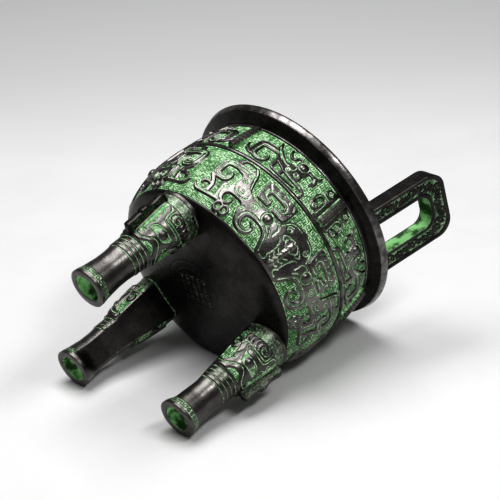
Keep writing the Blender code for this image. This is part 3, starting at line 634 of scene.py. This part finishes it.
def handle(name, azimuth):
    """A loop handle: a carved face, plain sides and green inside the opening. A column is a place round
    the bar's section, which goes over the face, the inside, the back and the outer side in turn."""
    face, side = 34, 8
    columns = face + 3 * side
    shares = np.concatenate([np.linspace(start, start + 1, count)[bool(start):]
                             for start, count in enumerate((120, 46, 66, 46, 120))])
    straight, over = HANDLE_HEIGHT - HANDLE_CORNER, 2 * (HANDLE_HALF_WIDTH - HANDLE_CORNER)
    bent = 0.5 * math.pi * HANDLE_BEND
    lengths = np.interp(shares, range(6), np.cumsum([0, straight, bent, over, bent, straight]))
    inner_width = HANDLE_HALF_WIDTH - HANDLE_BAR
    last = len(shares) - 1

    def shape(column, row):
        at = np.clip(row, 1, last + 1) - 1
        outer = handle_arch(HANDLE_HALF_WIDTH, HANDLE_HEIGHT, HANDLE_CORNER, shares[at])
        inner = handle_arch(inner_width, HANDLE_HEIGHT - HANDLE_TOP_BAR, 0.7 * inner_width, shares[at])
        k = column % columns
        turns = (0, face, face + side, face + 2 * side, columns)
        width = np.interp(k, turns, (0.0, 1.0, 1.0, 0.0, 0.0))
        inward = np.interp(k, turns, (0.0, 0.0, HANDLE_THICKNESS, HANDLE_THICKNESS, 0.0))
        on_face, on_inside = k <= face, (k > face) & (k <= face + side)
        rise, patina = handle_relief(lengths[at], width * HANDLE_BAR)
        inward = inward + np.where(on_face & (k > 0) & (k < face), 0.75 - rise, 0.0)
        ends = (row == 0) | (row == last + 2)
        width, inward = np.where(ends, 0.5, width), np.where(ends, HANDLE_THICKNESS / 2, inward)
        across = outer[0] + (inner[0] - outer[0]) * width
        up = outer[1] + (inner[1] - outer[1]) * width
        lining = eased((inward - 0.4) / 0.8) * eased((HANDLE_THICKNESS - 0.5 - inward) / 0.8)
        green = np.where(on_face, patina, np.where(on_inside, lining, 0.0))
        out = HANDLE_FACE + HANDLE_FLARE * up - inward
        return (*about_axis(out, across, azimuth), RIM_HEIGHT + up, green, lengths[at], width * HANDLE_BAR,
                1.0 * on_inside)
    return skin(name, columns, last + 2, shape)


# Small extruded pieces: the flange on each leg and the notched bars on the frieze

def rounded(bm, edges, radius):
    """Rounds edges over."""
    bmesh.ops.bevel(bm, geom=edges, offset=radius * MM, offset_type="OFFSET", affect="EDGES", segments=2,
                    profile=0.5, material=-1, clamp_overlap=True)


def finished(bm, name, azimuth, sharp):
    """Turns a small piece to its azimuth and makes it an object, with edges over an angle sharp."""
    mesh = bpy.data.meshes.new(name)
    bm.to_mesh(mesh)
    bm.free()
    mesh.transform(Matrix.Rotation(math.radians(azimuth), 4, "Z"))
    mesh.shade_smooth()
    mesh.set_sharp_from_angle(angle=math.radians(sharp))
    return bpy.data.objects.new(name, mesh)


def leg_flange(name, azimuth):
    """The hooked plate down the middle of a leg's mask, with a sunk field on both faces."""
    outline = [(8.0, 40.6), (14.8, 41.0), (16.6, 40.2), (20.2, 40.6), (20.6, 43.0), (20.4, 46.0), (21.0, 49.6),
               (21.0, 52.2), (22.2, 53.8), (22.4, 57.6), (21.6, 59.4), (21.3, 62.6), (21.6, 66.0), (22.2, 68.4),
               (22.3, 70.4), (21.5, 72.6), (17.0, 73.8), (12.0, 74.2), (8.0, 74.2)]
    bm = bmesh.new()
    near = Vector((LEG_REACH, -FLANGE_THICKNESS / 2, 0.0))
    face = bm.faces.new([bm.verts.new((near + Vector((out, 0.0, up))) * MM) for out, up in outline])
    grown = bmesh.ops.extrude_face_region(bm, geom=[face])["geom"]
    bmesh.ops.translate(bm, verts=[part for part in grown if isinstance(part, bmesh.types.BMVert)],
                        vec=(0.0, FLANGE_THICKNESS * MM, 0.0))
    bmesh.ops.recalc_face_normals(bm, faces=bm.faces)
    worn = bm.verts.layers.float.new("patina")
    broad = [side for side in bm.faces if len(side.verts) == len(outline)]
    bmesh.ops.inset_region(bm, faces=broad, thickness=1.3 * MM, depth=-0.4 * MM, use_even_offset=True,
                           use_boundary=True)
    for v in [v for side in broad for v in side.verts]:
        v[worn] = 0.34
    rims = [edge for edge in bm.edges if edge.is_manifold and edge.calc_face_angle(0.0) > math.radians(25.0)
            and not any(side in broad for side in edge.link_faces)]
    rounded(bm, rims, 0.45)
    return finished(bm, name, azimuth, 35.0)


def frieze_bar(name):
    """A bar across the frieze between two dragons, with raised blocks on its crest and shoulders."""
    section = ((-1.2, -2.8, 0.75), (1.5, -2.6, 0.75), (3.8, -1.2, 0.3), (3.8, 1.2, 0.3), (1.5, 2.6, 0.75),
               (-1.2, 2.8, 0.75))
    bm = bmesh.new()
    worn = bm.verts.layers.float.new("patina")
    place = bm.verts.layers.float_vector.new("place")
    face = bm.faces.new([bm.verts.new() for _ in section])
    start = list(face.verts)
    for step, z in enumerate(np.linspace(RIB_HIGH + 0.4, NECK_HEIGHT - 2.2, 9)):
        if step:
            face = bmesh.ops.extrude_discrete_faces(bm, faces=[face])["faces"][0]
        for v, (proud, across, green) in zip(face.verts, section):
            v.co = Vector((bowl_radius(z) + proud, across, z)) * MM
            v[worn] = green
    bm.faces.new(reversed(start))
    bmesh.ops.recalc_face_normals(bm, faces=bm.faces)
    blocks = [side for side in bm.faces if len(side.verts) == 4
              and (side.normal.x > 0.8 or 0.6 < abs(side.normal.y) < 0.97)]
    bmesh.ops.inset_individual(bm, faces=blocks, thickness=0.42 * MM, depth=0.5 * MM, use_even_offset=True)
    # The blocks get the lightest metal, a painted highlight for the light that their tops catch
    for v in [v for side in blocks for v in side.verts]:
        v[worn], v[place] = 0.0, (0.0, 0.0, -1.0)
    ends = [edge for edge in bm.edges if edge.is_manifold and edge.calc_face_angle(0.0) > math.radians(60.0)
            and any(len(side.verts) == len(section) for side in edge.link_faces)
            and all(v.co.x > (bowl_radius(v.co.z / MM) + 1.0) * MM for v in edge.verts)]
    rounded(bm, ends, 0.8)
    return finished(bm, name, MASK_AZIMUTH - HALF_SECTOR, 30.0)


# Materials

def colour(code):
    """An sRGB hex code as the linear colour that a shader takes."""
    values = [int(code[place:place + 2], 16) / 255 for place in (1, 3, 5)]
    return tuple(value / 12.92 if value <= 0.04045 else ((value + 0.055) / 1.055) ** 2.4 for value in values) + (1.0,)


def new_material(name):
    """An empty material and its tree."""
    material = bpy.data.materials.new(name)
    material.use_nodes = True
    material.node_tree.nodes.clear()
    return material, material.node_tree


def add_node(tree, kind, inputs=None, output=0, **settings):
    """Adds a node with its settings, gives each input a value or a link, and returns one output. A Mix
    of colours has its factor at input 0, its colours at 6 and 7, and its result at output 2."""
    node = tree.nodes.new("ShaderNode" + kind)
    for name, value in settings.items():
        setattr(node, name, value)
    for name, value in (inputs or {}).items():
        if isinstance(value, bpy.types.NodeSocket):
            tree.links.new(value, node.inputs[name])
        else:
            node.inputs[name].default_value = value
    return node.outputs[output] if len(node.outputs) else None


def thunder_pattern(tree, across, up):
    """Squared spirals on the ornament's own millimetres, as ridges from 0 to 1.

    The real ones are about 0.6 mm apart. They are drawn 1.3 mm apart, because finer ones are lost.
    """
    offsets, sizes = [], []
    for distance in (across, up):
        cell = add_node(tree, "Math", {0: distance, 1: THUNDER_CELL}, operation="DIVIDE")
        cell = add_node(tree, "Math", {0: cell}, operation="FRACT")
        offsets.append(add_node(tree, "Math", {0: cell, 1: 0.5}, operation="SUBTRACT"))
        sizes.append(add_node(tree, "Math", {0: offsets[-1]}, operation="ABSOLUTE"))
    square = add_node(tree, "Math", {0: sizes[0], 1: sizes[1]}, operation="MAXIMUM")
    turn = add_node(tree, "Math", {0: offsets[1], 1: offsets[0]}, operation="ARCTAN2")
    turn = add_node(tree, "Math", {0: turn, 1: 2 * math.pi}, operation="DIVIDE")
    winding = add_node(tree, "Math", {0: square, 1: THUNDER_TURNS, 2: turn}, operation="MULTIPLY_ADD")
    winding = add_node(tree, "Math", {0: winding}, operation="FRACT")
    winding = add_node(tree, "Math", {0: winding, 1: 0.5}, operation="SUBTRACT")
    winding = add_node(tree, "Math", {0: winding}, operation="ABSOLUTE")
    return add_node(tree, "MapRange", {"Value": winding, "From Min": 0.16, "From Max": 0.34},
                    interpolation_type="SMOOTHSTEP")


def cast_bronze(name, patterned, dark, lighter_metal, gloss, bare):
    """Lost-wax cast bronze, blackened and waxed, with chalky green patina in the low ones and lighter metal
    painted on its high places, partly wear and partly a painted highlight and sheen. The metal gives broad grey
    highlights, and the patina is matt and uneven. The black oxide hides part of the metal, so only a share of it, bare,
    reflects as metal does."""
    material, tree = new_material(name)
    place = add_node(tree, "TexCoord", output="Object")
    worn = add_node(tree, "Attribute", output="Fac", attribute_name="patina")
    along = add_node(tree, "Attribute", output="Vector", attribute_name="place")
    across, up, recess = (add_node(tree, "SeparateXYZ", {0: along}, axis) for axis in "XYZ")

    # Noise by the size of its largest shapes in millimetres: casting grain, crusts, stains and whole areas
    grain, speckle, blotch, broad = (
        add_node(tree, "TexNoise", {"Vector": place, "Scale": 1.0 / MM / size, "Detail": detail, "Roughness": rough})
        for size, detail, rough in ((1.1, 2.0, 0.55), (2.2, 3.0, 0.7), (9.0, 4.0, 0.55), (38.0, 2.0, 0.55)))
    edge = add_node(tree, "Math", {0: grain, 1: 0.5, 2: worn}, operation="MULTIPLY_ADD")
    crust = add_node(tree, "Math", {0: blotch, 1: 0.3}, operation="MULTIPLY")
    crust = add_node(tree, "Math", {0: speckle, 1: 0.7, 2: crust}, operation="MULTIPLY_ADD")
    # The patina's cover and its pale, fresh and dry tints, the metal's brighter areas and its lightening,
    # where the pattern shows, and the roughness
    green, pale, fresh, dry, bright, lightening, lined, rough = (
        add_node(tree, "MapRange", {"Value": value, "From Min": low, "From Max": high, "To Min": least, "To Max": most},
                 interpolation_type="SMOOTHSTEP")
        for value, low, high, least, most in (
            (edge, 0.55, 0.91, 0.0, 1.0), (crust, 0.41, 0.59, 0.0, 1.0), (broad, 0.5, 0.8, 0.0, 1.0),
            (blotch, 0.4, 0.56, 0.0, 1.0), (blotch, 0.35, 0.7, 0.0, 1.0), (blotch, 0.38, 0.6, 0.3, 1.0),
            (worn, 0.80, 0.98, 0.0, 1.0), (grain, 0.3, 0.7, gloss, gloss + 0.12)))
    # How much lighter metal is painted on: wear on the high places, and a painted highlight and sheen
    wear_and_highlight = add_node(tree, "MapRange", {"Value": recess, "From Min": 0.0, "From Max": -1.0})
    recess = add_node(tree, "Math", {0: recess, 1: 0.0}, operation="MAXIMUM")

    patina = add_node(tree, "Mix", {0: pale, 6: colour("#3c7d3d"), 7: colour("#c4e9bd")}, 2, data_type="RGBA")
    patina = add_node(tree, "Mix", {0: fresh, 6: patina, 7: colour("#74b472")}, 2, data_type="RGBA")
    # In recesses the patina is a darker, blotchy green: patina in the hollows, and partly a painted shade where the
    # recess lies in shadow
    deep = add_node(tree, "Mix", {0: dry, 6: colour("#27491f"), 7: colour("#8ec686")}, 2, data_type="RGBA")
    patina = add_node(tree, "Mix", {0: recess, 6: patina, 7: deep}, 2, data_type="RGBA")
    height = add_node(tree, "Math", {0: grain, 1: 0.5 if patterned else 0.2}, operation="MULTIPLY")
    if patterned:
        ridge = add_node(tree, "Math", {0: thunder_pattern(tree, across, up), 1: lined}, operation="MULTIPLY")
        outside = add_node(tree, "Math", {0: 1.0, 1: recess}, operation="SUBTRACT")
        ridge = add_node(tree, "Math", {0: ridge, 1: outside}, operation="MULTIPLY")
        ridge_tint = add_node(tree, "Math", {0: ridge, 1: 0.92}, operation="MULTIPLY")
        patina = add_node(tree, "Mix", {0: ridge_tint, 6: patina, 7: colour("#1f381d")}, 2, data_type="RGBA")
        height = add_node(tree, "Math", {0: ridge, 1: 1.6, 2: height}, operation="MULTIPLY_ADD")

    metal = add_node(tree, "Mix", {0: bright, 6: colour(dark), 7: colour(lighter_metal)}, 2, data_type="RGBA")
    lightening = add_node(tree, "Math", {0: wear_and_highlight, 1: lightening}, operation="MULTIPLY")
    # The light grey metal painted on the high places, partly wear and partly a painted highlight and sheen
    metal = add_node(tree, "Mix", {0: lightening, 6: metal, 7: colour("#8c8987")}, 2, data_type="RGBA")
    base = add_node(tree, "Mix", {0: green, 6: metal, 7: patina}, 2, data_type="RGBA")
    rough = add_node(tree, "Math", {0: wear_and_highlight, 1: -0.05, 2: rough}, operation="MULTIPLY_ADD")
    rough = add_node(tree, "Math", {0: green, 1: 0.4, 2: rough}, operation="MULTIPLY_ADD")
    metallic = add_node(tree, "Math", {0: green, 1: -bare, 2: bare}, operation="MULTIPLY_ADD")
    bump = add_node(tree, "Bump", {"Strength": 0.5, "Distance": 0.22 * MM, "Height": height})
    shader = add_node(tree, "BsdfPrincipled",
                      {"Base Color": base, "Roughness": rough, "Metallic": metallic, "Normal": bump})
    add_node(tree, "OutputMaterial", {"Surface": shader})
    return material


def seamless_paper(name):
    """Matt background paper, graded from white to pale grey at the back, a painted shade that stands in for the light
    falling off away from the lamps. From behind it lets the view through, so no view is blocked."""
    material, tree = new_material(name)
    place = add_node(tree, "TexCoord", output="Object")
    fibre = add_node(tree, "TexNoise", {"Vector": place, "Scale": 1.0 / MM / 60.0, "Detail": 3.0, "Roughness": 0.55})
    painted_falloff = add_node(tree, "VectorMath", {0: place, 1: along_floor}, "Value", operation="DOT_PRODUCT")
    fibre, painted_falloff = (
        add_node(tree, "MapRange", {"Value": value, "From Min": low, "From Max": high}, interpolation_type="SMOOTHSTEP")
        for value, low, high in ((fibre, 0.3, 0.7), (painted_falloff, -0.62, -0.34)))
    white = add_node(tree, "Mix", {0: fibre, 6: colour("#cdcdcd"), 7: colour("#d0d0d0")}, 2, data_type="RGBA")
    # Darker towards the back: a painted shade for the light falling off away from the lamps
    paper = add_node(tree, "Mix", {0: painted_falloff, 6: colour("#c2c2c3"), 7: white}, 2, data_type="RGBA")
    sheet = add_node(tree, "BsdfPrincipled", {"Base Color": paper, "Roughness": 0.85})
    behind = add_node(tree, "NewGeometry", output="Backfacing")
    side = add_node(tree, "MixShader", {0: behind, 1: sheet, 2: add_node(tree, "BsdfTransparent")})
    add_node(tree, "OutputMaterial", {"Surface": side})
    return material


# The vessel's pieces

def settle(piece, material):
    """Puts a finished piece in the scene, riding on the vessel's body."""
    piece.data.materials.clear()
    piece.data.materials.append(material)
    bpy.context.scene.collection.objects.link(piece)
    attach(piece, "root")
    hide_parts("ding_vessel")
    return piece


ornate = cast_bronze("lost-wax cast bronze with green patina", True, "#575453", "#676562", 0.27, 1.0)
plain = cast_bronze("blackened cast bronze", False, "#333130", "#403e3d", 0.25, 0.9)

settle(plain_shell(), plain)
for name, low, high, rows, relief in (("belly_band", EDGE_HEIGHT, RIB_LOW + 0.1, 140, belly_relief),
                                      ("frieze_band", RIB_HIGH - 0.1, NECK_HEIGHT - 1.2, 88, frieze_relief)):
    band = settle(ornament_band(f"{name}_1", low, high, rows, relief), ornate)
    for number in (2, 3):
        settle(turned(band, f"{name}_{number}", 120.0 * (number - 1)), ornate)
for number, azimuth in enumerate(LEG_AZIMUTHS, 1):
    settle(leg(f"leg_{number}", azimuth), ornate)
    settle(leg_flange(f"leg_flange_{number}", azimuth), plain)
bar = settle(frieze_bar("frieze_bar_1"), ornate)
for number in range(2, 7):
    settle(turned(bar, f"frieze_bar_{number}", 60.0 * (number - 1)), ornate)
for number, azimuth in enumerate(HANDLE_AZIMUTHS, 1):
    settle(handle(f"handle_{number}", azimuth), plain)


# The studio: a floor under the tipped vessel, soft light from above it, and the photograph's camera

floor_up = Vector((0.0, -0.974, 0.227)).normalized()
floor_spot = Vector((0.0, 0.0805, 0.168))
view_right = Vector((0.71070982, 0.22115778, 0.66781793))
view_forward = Vector((-0.64760337, 0.57646868, 0.49829081))
view_place = Vector((0.80865, -0.71654, -0.49715))
along_floor = (-view_forward + floor_up * view_forward.dot(floor_up)).normalized()
sideways = floor_up.cross(along_floor).normalized()
centre = Vector((0.0, 0.0, 0.12))


def floor_sheet():
    """A wide sheet of paper in the plane of the rim and two feet."""
    bm = bmesh.new()
    bmesh.ops.create_grid(bm, x_segments=4, y_segments=4, size=1.1)
    turn = floor_up.to_track_quat("Z", "Y").to_matrix().to_4x4()
    bmesh.ops.transform(bm, matrix=Matrix.Translation(floor_spot - along_floor * 0.1) @ turn, verts=bm.verts)
    mesh = bpy.data.meshes.new("floor")
    bm.to_mesh(mesh)
    bm.free()
    mesh.materials.append(seamless_paper("graded paper with painted falloff"))
    sheet = bpy.data.objects.new("floor", mesh)
    bpy.context.scene.collection.objects.link(sheet)


def soft_box(name, offset, width, height, power):
    """A soft light that faces the vessel from an offset."""
    data = bpy.data.lights.new(name, "AREA")
    data.shape = "RECTANGLE"
    data.size, data.size_y = width, height
    data.energy = power
    lamp = bpy.data.objects.new(name, data)
    lamp.location = centre + offset
    lamp.rotation_euler = (-offset).to_track_quat("-Z", "Y").to_euler()
    bpy.context.scene.collection.objects.link(lamp)


floor_sheet()
soft_box("key", floor_up * 1.1 - along_floor * 0.1 - sideways * 0.15, 0.9, 0.8, 11.5)
soft_box("sheen", Vector((0.61, -0.75, 0.2)) * 1.1, 0.16, 0.5, 4.0)
soft_box("fill", floor_up * 0.6 + along_floor * 1.2 - sideways * 0.6, 0.9, 0.9, 0.7)

world = bpy.data.worlds.new("studio air")
world.use_nodes = True
air = world.node_tree.nodes["Background"]
air.inputs["Color"].default_value = colour("#f0f0f0")
air.inputs["Strength"].default_value = 0.2
bpy.context.scene.world = world
bpy.context.scene.view_settings.view_transform = "Standard"
bpy.context.scene.view_settings.look = "High Contrast"

lens = bpy.data.cameras.new("photograph")
lens.sensor_width = 36.0
lens.lens = 140.353
lens.clip_start, lens.clip_end = 0.01, 20.0
camera = bpy.data.objects.new("photograph", lens)
view_up = view_right.cross(view_forward).normalized()
view_axes = Matrix((view_right, view_up, -view_forward)).transposed().to_4x4()
camera.matrix_world = Matrix.Translation(view_place) @ view_axes
bpy.context.scene.collection.objects.link(camera)
bpy.context.scene.camera = camera
